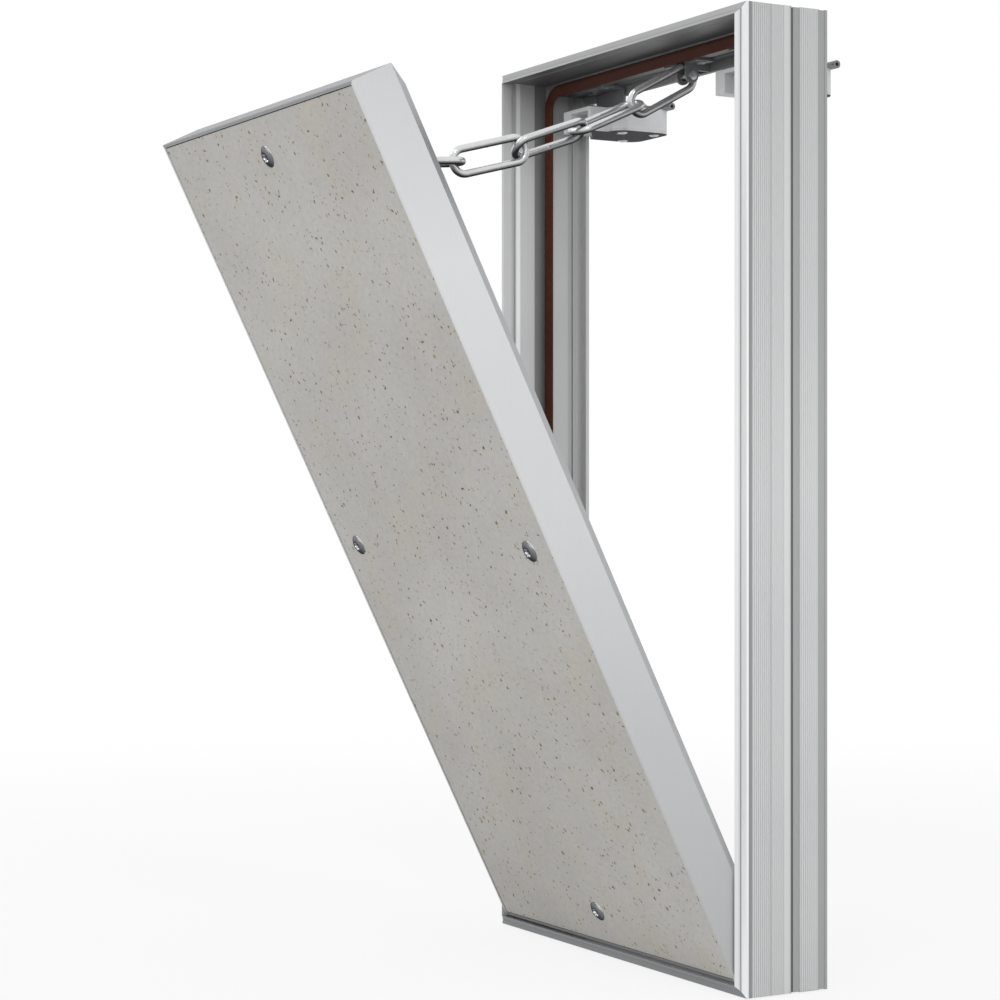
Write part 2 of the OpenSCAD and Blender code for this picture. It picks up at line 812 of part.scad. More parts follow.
module latch_housing() {
    room_y = plunger_in + plunger_len + plunger_travel + 0.9;
    difference() {
        translate([0, 0, housing_z]) linear_extrude(height = latch_h) latch_plan();
        // mouth with the plunger's room behind it
        translate([mouth_x, -4, latch_z - 1]) cube([mouth_w, 26, mouth_h + 1]);
        translate([mouth_x, 21, latch_z - 1])
            cube([rod_x + plunger_rod_d / 2 + 0.2 - mouth_x, room_y - 21, mouth_h + 1]);
        // bore of the plunger's rod
        translate([rod_x, 21, latch_z + 5])
            rotate([-90, 0, 0]) cylinder(r = plunger_rod_d / 2 + rod_play, h = 14.7);
        // seat of the catch's pin
        translate([catch_x, catch_y, latch_z + mouth_h - 0.3])
            cylinder(r = catch_pin_d / 2 + catch_play, h = 1.4);
        // holes of the cover's rivets and of the screws
        for (p = cover_rivets)
            translate([p[0], p[1], latch_z])
                cylinder(r = cover_rivet_d / 2 + hole_play, h = 6);
        for (p = top_screws)
            translate([p[0], p[1], sheet_z - 5])
                cylinder(r = small_screw_d / 2 + hole_play, h = 6);
    }
}

module latch_housing_left() {
    color("lightgray") at_latch(-1) latch_housing();
}

module latch_housing_right() {
    color("lightgray") at_latch(1) latch_housing();
}

// Steel cover below the latch; its front edge runs across at a slant
module latch_cover() {
    far = latch_len + 1;
    difference() {
        translate([0, 0, latch_z])
            linear_extrude(height = plate_t)
                intersection() {
                    latch_plan();
                    polygon([[neck_right + 0.2, 0.4], [body_right + 1, 0.4], [body_right + 1, far],
                        [-latch_left - 1, far], [-latch_left - 1, 15.6], [-16.2, 13.5]]);
                }
        for (p = cover_rivets)
            translate([p[0], p[1], latch_z - 1])
                cylinder(r = cover_rivet_d / 2 + hole_play, h = 6);
        translate([catch_x, catch_y, latch_z - 1])
            cylinder(r = catch_pin_d / 2 + catch_play, h = 4);
    }
}

module latch_cover_left() {
    color("gray") at_latch(-1) latch_cover();
}

module latch_cover_right() {
    color("gray") at_latch(1) latch_cover();
}

module latch_rivets() {
    color("silver")
        for (s = [-1, 1], p = cover_rivets)
            at_latch(s)
                translate([p[0], p[1], latch_z]) {
                    cylinder(r = cover_rivet_d / 2, h = cover_rivet_len);
                    translate([0, 0, -cover_head_t])
                        difference() {
                            cylinder(r = cover_head_d / 2, h = cover_head_t);
                            translate([0, 0, -1]) cylinder(r = cover_rivet_d / 4, h = 1.4);
                        }
                }
}

// Folded bracket that hangs the latch from the ceiling; its rolled tongue stands out behind
module latch_bracket() {
    lip_y = frame_d - rear_lip_t - 0.1 - latch_front;
    tip = latch_len - tongue_in;
    back = tip - tongue_len;
    right = body_right - 0.7;
    tongue_right = tongue_w - tongue_left;
    difference() {
        union() {
            translate([0, 0, sheet_z])
                linear_extrude(height = plate_t)
                    polygon([[3.4 - latch_left, 1.7], [-0.7, 1.7], [-0.7, 16], [right, 19],
                        [right, back - 4], [tongue_right, back], [tongue_right, tip],
                        [-tongue_left, tip], [-tongue_left, back], [1.1 - latch_left, back - 6],
                        [1.1 - latch_left, 8], [3.4 - latch_left, 6]]);
            translate([-tongue_left, tip, sheet_z + roll_r])
                rotate([0, 90, 0]) cylinder(r = roll_r, h = tongue_w);
            translate([-bracket_half, lip_y - plate_t, sheet_z])
                cube([2 * bracket_half, plate_t, ceiling_z - sheet_z]);
            translate([-bracket_half, 1, ceiling_z - plate_t])
                cube([2 * bracket_half, lip_y - 1, plate_t]);
        }
        for (t = [-1, 1])
            translate([t * bracket_rivet_x, bracket_rivet_y, ceiling_z - 3])
                cylinder(r = rivet_d / 2 + hole_play, h = 5);
        for (p = top_screws)
            translate([p[0], p[1], sheet_z - 1])
                cylinder(r = small_screw_d / 2 + 0.1, h = 4);
        // inside of the roll
        translate([-tongue_left - 1, tip, sheet_z + roll_r])
            rotate([0, 90, 0]) cylinder(r = roll_r - roll_t, h = tongue_w + 2);
    }
}

module latch_bracket_left() {
    color("lightgray") at_latch(-1) latch_bracket();
}

module latch_bracket_right() {
    color("lightgray") at_latch(1) latch_bracket();
}

module latch_screws() {
    color("silver")
        for (s = [-1, 1], p = top_screws)
            at_latch(s) translate([p[0], p[1], sheet_z + plate_t]) small_screw(small_screw_len);
}

// Sprung plunger that the striker pushes back
module latch_plunger() {
    translate([mouth_x + 0.5, plunger_in, housing_z + 0.3])
        difference() {
            cube([mouth_w - 6.6, plunger_len, mouth_h - plate_t - 0.8]);
            translate([4.5, -1.2, 3.8]) sphere(r = 2.4);
        }
    translate([rod_x, plunger_in + plunger_len - 0.4, latch_z + 5])
        rotate([-90, 0, 0]) cylinder(r = plunger_rod_d / 2, h = 10);
}

module latch_plunger_left() {
    color("white") at_latch(-1) latch_plunger();
}

module latch_plunger_right() {
    color("white") at_latch(1) latch_plunger();
}

// Hooked catch on an upright pin, drawn back as it is with the leaf open
module latch_catch() {
    z = housing_z + 0.7;
    h = mouth_h - plate_t - 1.4;
    w = catch_waist;
    n = catch_len;
    translate([catch_x, catch_y, 0]) {
        translate([0, 0, z])
            linear_extrude(height = h)
                union() {
                    polygon([[-0.9, -n], [-w, 1 - n], [-w, 2.2 - n], [-0.9, 2.7 - n],
                        [-0.9, -4], [-1.6, 0], [1.6, 0], [1.6, 2.3 - n], [1.2, -n]]);
                    circle(r = 1.6);
                }
        translate([0, 0, latch_z + 0.1])
            cylinder(r = catch_pin_d / 2, h = mouth_h + 0.7);
    }
}

module latch_catch_left() {
    color("dimgray") at_latch(-1) latch_catch();
}

module latch_catch_right() {
    color("dimgray") at_latch(1) latch_catch();
}

top_rail();
bottom_rail();
left_jamb();
right_jamb();
frame_corner_keys();
gasket();
pivot_pins();
leaf_top_profile();
leaf_bottom_profile();
leaf_left_profile();
leaf_right_profile();
leaf_corner_keys();
facing_board();
board_screws();
strikers();
leaf_bail();
bail_screws();
chain_link_1();
chain_link_2();
chain_link_3();
chain_link_4();
chain_link_5();
chain_hanger();
hanger_bar();
hanger_rivets();
latch_housing_left();
latch_housing_right();
latch_cover_left();
latch_cover_right();
latch_rivets();
latch_bracket_left();
latch_bracket_right();
bracket_rivets();
latch_screws();
latch_plunger_left();
latch_plunger_right();
latch_catch_left();
latch_catch_right();
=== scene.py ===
"""Tile access panel: frame, tilting leaf, chain and two push latches, dressed for rendering.

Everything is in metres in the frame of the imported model: X along the width, +Y into the wall,
+Z up.
"""
import json
import math

import bpy
import numpy as np
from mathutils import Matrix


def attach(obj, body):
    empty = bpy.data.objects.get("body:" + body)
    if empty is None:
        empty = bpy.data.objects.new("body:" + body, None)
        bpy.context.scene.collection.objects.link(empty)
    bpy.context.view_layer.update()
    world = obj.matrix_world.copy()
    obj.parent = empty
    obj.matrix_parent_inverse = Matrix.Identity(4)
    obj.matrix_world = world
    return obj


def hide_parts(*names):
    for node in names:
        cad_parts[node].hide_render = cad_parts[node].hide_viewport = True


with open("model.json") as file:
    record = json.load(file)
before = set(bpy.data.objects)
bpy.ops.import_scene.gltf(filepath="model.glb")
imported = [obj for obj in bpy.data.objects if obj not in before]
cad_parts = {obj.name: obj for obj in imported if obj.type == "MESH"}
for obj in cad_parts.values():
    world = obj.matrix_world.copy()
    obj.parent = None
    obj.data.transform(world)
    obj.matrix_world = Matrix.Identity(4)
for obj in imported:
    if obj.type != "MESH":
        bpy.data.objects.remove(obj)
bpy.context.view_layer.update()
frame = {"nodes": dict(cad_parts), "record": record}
scene = bpy.context.scene

# Camera
# The photograph's own viewpoint: level, at half the panel's height, from the right of its front.
# The lens and the small shift give the photograph's framing.
eye = (0.904446, -0.583934, 0.200223)
eye_turn = math.radians(60.743)
lens = bpy.data.cameras.new("camera")
lens.sensor_width = 36.0
lens.lens = 87.817
lens.shift_y = -0.0009
lens.clip_start = 0.01
lens.clip_end = 50.0
camera = bpy.data.objects.new("camera", lens)
camera.location = eye
camera.rotation_euler = (math.radians(90), 0.0, eye_turn)
scene.collection.objects.link(camera)
scene.camera = camera
scene.view_settings.view_transform = "Standard"

# Studio walls
# A plain pale studio. The camera, the metal's reflections and anything clear see it white; as a
# light it is a little stronger from above, in front and on the right.
wall_level = 0.66
wall_light_from = (0.26, -0.2, 0.3)
wall_white = (1, 1, 1, 1)
wall_light_colour = (0.985, 0.99, 1.0, 1)
world = bpy.data.worlds.new("studio_walls")
scene.world = world
world.use_nodes = True
walls = world.node_tree
walls.nodes.clear()
wall_out = walls.nodes.new("ShaderNodeOutputWorld")
wall_mix = walls.nodes.new("ShaderNodeMixShader")
wall_seen = walls.nodes.new("ShaderNodeBackground")
wall_seen.inputs["Color"].default_value = wall_white
wall_seen.inputs["Strength"].default_value = 1.0
wall_light = walls.nodes.new("ShaderNodeBackground")
wall_light.inputs["Color"].default_value = wall_light_colour
wall_way = walls.nodes.new("ShaderNodeTexCoord")
wall_dot = walls.nodes.new("ShaderNodeVectorMath")
wall_dot.operation = "DOT_PRODUCT"
wall_dot.inputs[1].default_value = wall_light_from
walls.links.new(wall_way.outputs["Generated"], wall_dot.inputs[0])
wall_add = walls.nodes.new("ShaderNodeMath")
wall_add.inputs[1].default_value = wall_level
walls.links.new(wall_dot.outputs["Value"], wall_add.inputs[0])
walls.links.new(wall_add.outputs[0], wall_light.inputs["Strength"])


def seen_rays(t):
    """1 for rays of the camera, of reflections and through clear matter, 0 for the rest: the
    largest of the three outputs of Light Path."""
    path = t.nodes.new("ShaderNodeLightPath")
    value = path.outputs["Is Camera Ray"]
    for other in ("Is Glossy Ray", "Is Transmission Ray"):
        larger = t.nodes.new("ShaderNodeMath")
        larger.operation = "MAXIMUM"
        t.links.new(value, larger.inputs[0])
        t.links.new(path.outputs[other], larger.inputs[1])
        value = larger.outputs[0]
    return value


walls.links.new(seen_rays(walls), wall_mix.inputs[0])
walls.links.new(wall_light.outputs[0], wall_mix.inputs[1])
walls.links.new(wall_seen.outputs[0], wall_mix.inputs[2])
walls.links.new(wall_mix.outputs[0], wall_out.inputs["Surface"])

# Lamps
# Three round soft boxes: a wide one in front on the right, one above on the left, and a small one
# high on the right that draws the bright lines on wire, rivets and screw heads. The wide one
# itself is kept out of reflections, or the fine ribs of the head glitter when seen from behind.
for name, place, size, power, aim, mirrored in (
    ("key_lamp", (1.3, -1.5, 0.95), 1.1, 9.0, (0.0, 0.0, 0.2), False),
    ("top_lamp", (-0.7, -0.9, 1.5), 0.9, 4.0, (0.0, 0.0, 0.3), True),
    ("small_lamp", (1.1, -0.35, 1.25), 0.2, 2.2, (0.0, 0.0, 0.35), True),
):
    lamp_data = bpy.data.lights.new(name, "AREA")
    lamp_data.shape = "DISK"
    lamp_data.size = size
    lamp_data.energy = power
    lamp = bpy.data.objects.new(name, lamp_data)
    lamp.location = place
    way = np.array(aim) - np.array(place)
    lamp.rotation_euler = (
        math.atan2(math.hypot(way[0], way[1]), -way[2]), 0.0,
        math.atan2(way[1], way[0]) - math.pi / 2)
    lamp.visible_glossy = mirrored
    scene.collection.objects.link(lamp)

# Floor
# A sheet of pale studio paper just under the frame. It is seen nearly white and keeps a soft
# shadow near the object; further out it fades into the white of the walls.
mm = 0.001
floor_half = 4.0
floor_z = -0.6 * mm
fade_from = 0.35
fade_to = 1.1
shadow_share = 0.16
paper_grey = (0.7, 0.7, 0.7, 1)
floor_mesh = bpy.data.meshes.new("floor")
floor_mesh.from_pydata([(-floor_half, -floor_half, floor_z), (floor_half, -floor_half, floor_z),
                        (floor_half, floor_half, floor_z), (-floor_half, floor_half, floor_z)],
                       [], [(0, 1, 2, 3)])
floor = bpy.data.objects.new("floor", floor_mesh)
scene.collection.objects.link(floor)
paper = bpy.data.materials.new("floor_paper")
paper.use_nodes = True
sheet = paper.node_tree
sheet.nodes.clear()
paper_out = sheet.nodes.new("ShaderNodeOutputMaterial")
paper_lit = sheet.nodes.new("ShaderNodeBsdfDiffuse")
paper_lit.inputs["Color"].default_value = paper_grey
paper_white = sheet.nodes.new("ShaderNodeEmission")
paper_white.inputs["Color"].default_value = wall_white
paper_white.inputs["Strength"].default_value = 1.0
paper_mix = sheet.nodes.new("ShaderNodeMixShader")
paper_at = sheet.nodes.new("ShaderNodeTexCoord")
paper_far = sheet.nodes.new("ShaderNodeVectorMath")
paper_far.operation = "LENGTH"
sheet.links.new(paper_at.outputs["Object"], paper_far.inputs[0])
paper_fade = sheet.nodes.new("ShaderNodeMapRange")
paper_fade.interpolation_type = "SMOOTHSTEP"
paper_fade.inputs["From Min"].default_value = fade_from
paper_fade.inputs["From Max"].default_value = fade_to
paper_fade.inputs["To Min"].default_value = 1.0 - shadow_share
paper_fade.inputs["To Max"].default_value = 1.0
sheet.links.new(paper_far.outputs["Value"], paper_fade.inputs["Value"])
paper_share = sheet.nodes.new("ShaderNodeMath")
paper_share.operation = "MULTIPLY"
sheet.links.new(seen_rays(sheet), paper_share.inputs[0])
sheet.links.new(paper_fade.outputs[0], paper_share.inputs[1])
sheet.links.new(paper_share.outputs[0], paper_mix.inputs[0])
sheet.links.new(paper_lit.outputs[0], paper_mix.inputs[1])
sheet.links.new(paper_white.outputs[0], paper_mix.inputs[2])
sheet.links.new(paper_mix.outputs[0], paper_out.inputs["Surface"])
floor_mesh.materials.append(paper)


# Frame
# Four mitred lengths of one aluminium extrusion, satin anodised, with faint die lines along each
# length. The strips across the jambs' section carry painted shade and painted highlights, and the
# jambs get a little painted shade towards the head and the sill. The head and the sill are darker
# copies of the same colour, which is painted shade, and the head's downward faces have more painted
# shade.
nodes = frame["nodes"]


def new_finish(name, metallic, specular=0.5):
    """An empty material: returns it with its tree, its shader and its Object coordinates."""
    m = bpy.data.materials.new(name)
    m.use_nodes = True
    t = m.node_tree
    shader = t.nodes["Principled BSDF"]
    shader.inputs["Metallic"].default_value = metallic
    shader.inputs["Specular IOR Level"].default_value = specular
    return m, t, shader, t.nodes.new("ShaderNodeTexCoord").outputs["Object"]


def stretched(t, at, scales):
    """Coordinates multiplied by one scale per axis, so that a noise becomes long streaks."""
    mapping = t.nodes.new("ShaderNodeMapping")
    mapping.inputs["Scale"].default_value = scales
    t.links.new(at, mapping.inputs[0])
    return mapping.outputs[0]


def cloud(t, at, scale, detail=3.0, rough=0.5):
    """Fractal noise between 0 and 1 at the given number of cells per metre."""
    noise = t.nodes.new("ShaderNodeTexNoise")
    noise.inputs["Scale"].default_value = scale
    noise.inputs["Detail"].default_value = detail
    noise.inputs["Roughness"].default_value = rough
    t.links.new(at, noise.inputs["Vector"])
    return noise.outputs["Fac"]


def shades(t, value, low, colour_low, high, colour_high):
    """Colour that goes from the first to the second as the value goes from low to high."""
    ramp = t.nodes.new("ShaderNodeValToRGB")
    ramp.color_ramp.elements[0].position = low
    ramp.color_ramp.elements[0].color = (*colour_low, 1)
    ramp.color_ramp.elements[1].position = high
    ramp.color_ramp.elements[1].color = (*colour_high, 1)
    t.links.new(value, ramp.inputs[0])
    return ramp.outputs[0]


def over(t, share, below, above, mode="MIX"):
    """Lays one colour over another; each of them and the share is a socket or a constant."""
    mix = t.nodes.new("ShaderNodeMix")
    mix.data_type = "RGBA"
    mix.blend_type = mode
    for key, value in (("Factor", share), ("A", below), ("B", above)):
        if isinstance(value, bpy.types.NodeSocket):
            t.links.new(value, mix.inputs[key])
        else:
            mix.inputs[key].default_value = value if key == "Factor" else (*value, 1)
    return mix.outputs["Result"]


def spread(t, value, low, high, to_low, to_high):
    """The value's range from low to high moved to the range from to_low to to_high."""
    ranged = t.nodes.new("ShaderNodeMapRange")
    ranged.inputs["From Min"].default_value = low
    ranged.inputs["From Max"].default_value = high
    ranged.inputs["To Min"].default_value = to_low
    ranged.inputs["To Max"].default_value = to_high
    t.links.new(value, ranged.inputs["Value"])
    return ranged.outputs[0]


def relief(t, shader, height, strength, depth):
    """Bump of the given depth in metres on the shader's normal."""
    bump = t.nodes.new("ShaderNodeBump")
    bump.inputs["Strength"].default_value = strength
    bump.inputs["Distance"].default_value = depth
    t.links.new(height, bump.inputs["Height"])
    t.links.new(bump.outputs[0], shader.inputs["Normal"])


def facing(t, way, low, high):
    """0 to 1 as the object's own normal turns to the given way: its dot product with it, moved
    from the range low to high."""
    turned = t.nodes.new("ShaderNodeTexCoord")
    dot = t.nodes.new("ShaderNodeVectorMath")
    dot.operation = "DOT_PRODUCT"
    dot.inputs[1].default_value = way
    t.links.new(turned.outputs["Normal"], dot.inputs[0])
    return spread(t, dot.outputs["Value"], low, high, 0.0, 1.0)


def extruded_aluminium(name, colour, rough, metallic, along, tint, shaded_way=None, painted_shade=0.0,
                       painted_light_tones=None):
    """Satin metal: straight die lines along one axis, made by a noise that is drawn out on it, move
    colour and roughness a little, and a wide cloud is the handling haze. Faces that look the
    shaded_way lose the share painted_shade of their colour, which is painted shade.
    painted_light_tones is a function that gives painted shade and painted highlights, with which
    the rest is multiplied."""
    m, t, shader, at = new_finish(name, metallic)
    lines_across = 1400.0
    lines_along = 0.8
    cells = [lines_across] * 3
    cells[along] = lines_along
    streak = cloud(t, stretched(t, at, cells), 1.0, detail=2.0)
    haze = cloud(t, at, 11.0)
    haze_tint = (0.95, 0.955, 0.96)
    pale = [min(1.0, c * (1 + tint)) for c in colour]
    deep = [c * (1 - tint) for c in colour]
    body = shades(t, streak, 0.3, deep, 0.7, pale)
    body = over(t, 0.5, body, shades(t, haze, 0.35, haze_tint, 0.65, (1, 1, 1)), "MULTIPLY")
    if painted_light_tones:
        body = over(t, 1.0, body, painted_light_tones(t, at), "MULTIPLY")
    if shaded_way:
        body = over(t, facing(t, shaded_way, 0.35, 0.85), body, [c * (1 - painted_shade) for c in colour])
    t.links.new(body, shader.inputs["Base Color"])
    t.links.new(spread(t, streak, 0.25, 0.75, rough - 0.04, rough + 0.05),
                shader.inputs["Roughness"])
    relief(t, shader, haze, strength=0.1, depth=0.3 * mm)
    return m


def dress(names, finish, edge, segments=2, angle=35, edge_finish=None):
    """Gives CAD nodes a finish and rounds their edges that are sharper than the angle; the
    rounded edges take their own finish where one is given."""
    for name in names:
        o = nodes[name]
        o.data.materials.clear()
        o.data.materials.append(finish)
        if edge:
            bevel = o.modifiers.new("edges", "BEVEL")
            bevel.width = edge
            bevel.segments = segments
            bevel.limit_method = "ANGLE"
            bevel.angle_limit = math.radians(angle)
            if edge_finish:
                o.data.materials.append(edge_finish)
                bevel.material = 1


def graded(t, at, axis, stops):
    """Grey along one axis: each stop is a place in millimetres and a grey, joined by straights."""
    parts = t.nodes.new("ShaderNodeSeparateXYZ")
    t.links.new(at, parts.inputs[0])
    low, high = stops[0][0], stops[-1][0]
    ramp = t.nodes.new("ShaderNodeValToRGB")
    points = ramp.color_ramp.elements
    while len(points) < len(stops):
        points.new(1.0)
    for point, (place, grey) in zip(points, stops):
        point.position = (place - low) / (high - low)
        point.color = (grey, grey, grey, 1)
    t.links.new(spread(t, parts.outputs[axis], low * mm, high * mm, 0.0, 1.0), ramp.inputs[0])
    return ramp.outputs[0]


def strips(t, at, section):
    """Grey of each strip of the frame's section by the depth in millimetres at which it starts,
    with a soft step between two strips; the depth counts from the front corner. The greys are
    painted shade and painted reflections."""
    front_corner = -20.0
    soft_step = 0.15
    stops = []
    for i, (start, grey) in enumerate(section):
        if i:
            stops.append((start + front_corner - soft_step, section[i - 1][1]))
        stops.append((start + front_corner, grey))
    return graded(t, at, "Y", stops)


# Painted shade and painted highlights across the jamb's section: the depth in millimetres at which
# each strip starts, and its grey.
outer_painted_strips = ((-3.0, 0.3), (-0.85, 0.93), (1.1, 0.3), (2.75, 0.68), (11.8, 0.42), (12.2, 0.7),
                (21.8, 0.13), (23.0, 0.4), (26.4, 0.7), (35.3, 0.4))
inner_painted_strips = ((-3.0, 0.8), (-1.6, 0.69), (3.2, 0.58), (4.7, 0.54), (5.4, 1.0), (7.6, 0.67),
                (15.4, 0.26), (21.8, 0.55), (30.8, 0.47), (33.8, 0.5), (35.6, 0.58), (38.2, 0.6))


def jamb_painted_light(t, at):
    """Painted light on the jambs: the outer painted strips where a point is less than 2.6 mm from
    the outside, else the inner ones; both darken a little towards the head and the sill, which is
    painted shade."""
    ribbed_from = 97.35 * mm
    ribbed_to = 97.45 * mm
    parts = t.nodes.new("ShaderNodeSeparateXYZ")
    t.links.new(at, parts.inputs[0])
    side = t.nodes.new("ShaderNodeMath")
    side.operation = "ABSOLUTE"
    t.links.new(parts.outputs["X"], side.inputs[0])
    outer = spread(t, side.outputs[0], ribbed_from, ribbed_to, 0.0, 1.0)
    section = over(t, outer, strips(t, at, inner_painted_strips), strips(t, at, outer_painted_strips))
    return over(t, 1.0, section, graded(t, at, "Z", ((0, 0.9), (200, 1.0), (400, 0.84))),
                "MULTIPLY")


along_x, along_z = 0, 2
downwards = (0.0, 0.0, -1.0)
satin_rough = 0.42
satin_metallic = 0.4
frame_edge = 0.08 * mm
upright_colour = (0.985, 0.995, 1.0)
# The sill's and the head's colours are darker copies of the uprights' colour: painted shade.
sill_shaded_colour = (0.22, 0.223, 0.23)
head_shaded_colour = (0.33, 0.332, 0.335)
# Share of the head's colour taken off its downward faces: painted shade.
head_shade_share = 0.62
frame_upright = extruded_aluminium("frame_upright", upright_colour, satin_rough, satin_metallic,
                                   along_z, tint=0.025, painted_light_tones=jamb_painted_light)
frame_sill = extruded_aluminium("frame_sill", sill_shaded_colour, satin_rough, satin_metallic,
                                along_x, tint=0.03)
frame_head = extruded_aluminium("frame_head", head_shaded_colour, satin_rough, satin_metallic,
                                along_x, tint=0.03, shaded_way=downwards, painted_shade=head_shade_share)
dress(("left_jamb", "right_jamb"), frame_upright, frame_edge)
dress(("bottom_rail",), frame_sill, frame_edge)
dress(("top_rail",), frame_head, frame_edge)

# Gasket
# One extruded strip of dark brown rubber, bent round the corners and pressed on the shoulder;
# matt, with a faint dust in its grain.
rubber_deep = (0.06, 0.017, 0.011)
rubber_pale = (0.085, 0.027, 0.018)
rubber_dust = (0.12, 0.055, 0.04)
rubber, t, shader, at = new_finish("gasket_rubber", metallic=0.0, specular=0.12)
grain = cloud(t, at, 700.0)
dusty = spread(t, cloud(t, at, 40.0, detail=2.0), 0.55, 0.8, 0.0, 0.25)
body = over(t, dusty, shades(t, grain, 0.35, rubber_deep, 0.7, rubber_pale), rubber_dust)
t.links.new(body, shader.inputs["Base Color"])
t.links.new(spread(t, grain, 0.3, 0.7, 0.5, 0.66), shader.inputs["Roughness"])
relief(t, shader, grain, strength=0.12, depth=0.08 * mm)
dress(("gasket",), rubber, edge=0.0)

# Leaf casing
# Four mitred hollow aluminium profiles round the board, anodised smoother and paler than the frame;
# the board's edge sits behind their thin front edge. Handling has rubbed the long edges. The sides
# carry a painted shade that changes with height and a darker painted shade on the rear slope. The
# top and bottom profiles are a darker copy of the colour, which is painted shade.
open_angle = -math.radians(frame["record"]["behaviour"]["joints"][0]["range_deg"][0])
leaf_front = np.array([0.0, -math.cos(open_angle), -math.sin(open_angle)])
leaf_back = -leaf_front
leaf_edge = 0.12 * mm
# Painted shade: a darker grey for the rear slope, and a grey by height in millimetres for the
# sides.
leaf_rear_shade = (0.36, 0.365, 0.375)
leaf_side_shade_stops = ((0, 0.44), (100, 0.53), (180, 0.62), (290, 0.68), (350, 0.61), (385, 0.54))


def leaf_painted_light(t, at):
    """Painted shade on the sides: their grey by height in millimetres, darker towards the top and
    the bottom, and one darker grey on the rear slope.
    """
    return over(t, facing(t, tuple(leaf_back), 0.25, 0.5), graded(t, at, "Z", leaf_side_shade_stops),
                leaf_rear_shade)


leaf_side_colour = (0.98, 0.99, 1.0)
# The top and bottom profiles take a darker copy of the sides' colour: painted shade.
leaf_end_shaded_colour = (0.26, 0.264, 0.27)
rubbed_colour = (0.74, 0.75, 0.76)
leaf_side = extruded_aluminium("leaf_side", leaf_side_colour, rough=0.4, metallic=0.3,
                               along=along_z, tint=0.012, painted_light_tones=leaf_painted_light)
leaf_end = extruded_aluminium("leaf_end", leaf_end_shaded_colour, rough=0.45, metallic=0.25,
                              along=along_x, tint=0.012)
rubbed_edge = extruded_aluminium("worn_edge", rubbed_colour, rough=0.3, metallic=0.6,
                                 along=along_z, tint=0.02)
dress(("leaf_left_profile", "leaf_right_profile"), leaf_side, leaf_edge, angle=25,
      edge_finish=rubbed_edge)
dress(("leaf_top_profile", "leaf_bottom_profile"), leaf_end, leaf_edge, angle=25)

# Facing board
# Cement-bonded board, cast and sanded: warm grey with beige and greenish clouds, small dark
# grains, some with an ochre halo, and faint pores. It lies in the casing's shelf.
cement_deep, cement_pale = (0.472, 0.456, 0.43), (0.526, 0.514, 0.492)
beige = (0.507, 0.477, 0.415)
greenish = (0.468, 0.48, 0.455)
pore_shade, no_shade = (0.84, 0.84, 0.83), (1, 1, 1)
halo_deep, halo_pale = (0.44, 0.4, 0.32), (0.47, 0.42, 0.31)
grain_deep, grain_pale = (0.12, 0.1, 0.08), (0.2, 0.15, 0.085)
speck_deep, speck_pale = (0.18, 0.16, 0.13), (0.28, 0.24, 0.18)
board_edge = 0.3 * mm
board, t, shader, at = new_finish("cement_board", metallic=0.0, specular=0.2)
mottle = cloud(t, at, 14.0, detail=4.0, rough=0.55)
ground = shades(t, mottle, 0.36, cement_deep, 0.66, cement_pale)
beige_cloud = spread(t, cloud(t, at, 33.0, detail=2.0), 0.52, 0.72, 0.0, 0.55)
ground = over(t, beige_cloud, ground, beige)
greenish_cloud = spread(t, cloud(t, at, 24.0, detail=2.0), 0.45, 0.25, 0.0, 0.4)
ground = over(t, greenish_cloud, ground, greenish)
pores = shades(t, cloud(t, at, 480.0), 0.3, pore_shade, 0.62, no_shade)
ground = over(t, 0.5, ground, pores, "MULTIPLY")


def grains(cells, size, soft, keep, shift):
    """Mask of grains: one round each Voronoi point, full within size times soft of a cell's width
    and gone at size, and only in the cells whose random red is below keep. A noise pulls each
    grain out of round. Also returns the cell's random green."""
    moved = t.nodes.new("ShaderNodeMapping")
    moved.inputs["Location"].default_value = (shift, shift * 0.7, shift * 1.3)
    t.links.new(at, moved.inputs[0])
    pull = t.nodes.new("ShaderNodeTexNoise")
    pull.inputs["Scale"].default_value = cells * 1.7
    t.links.new(moved.outputs[0], pull.inputs["Vector"])
    pulled = t.nodes.new("ShaderNodeVectorMath")
    pulled.operation = "MULTIPLY_ADD"
    pulled.inputs[1].default_value = (0.9 / cells,) * 3
    t.links.new(pull.outputs["Color"], pulled.inputs[0])
    t.links.new(moved.outputs[0], pulled.inputs[2])
    cell = t.nodes.new("ShaderNodeTexVoronoi")
    cell.inputs["Scale"].default_value = cells
    t.links.new(pulled.outputs[0], cell.inputs["Vector"])
    near = spread(t, cell.outputs["Distance"], size, size * soft, 0.0, 1.0)
    parts = t.nodes.new("ShaderNodeSeparateColor")
    t.links.new(cell.outputs["Color"], parts.inputs[0])
    few = t.nodes.new("ShaderNodeMath")
    few.operation = "LESS_THAN"
    few.inputs[1].default_value = keep
    t.links.new(parts.outputs["Red"], few.inputs[0])
    both = t.nodes.new("ShaderNodeMath")
    both.operation = "MULTIPLY"
    t.links.new(near, both.inputs[0])
    t.links.new(few.outputs[0], both.inputs[1])
    return both.outputs[0], parts.outputs["Green"]


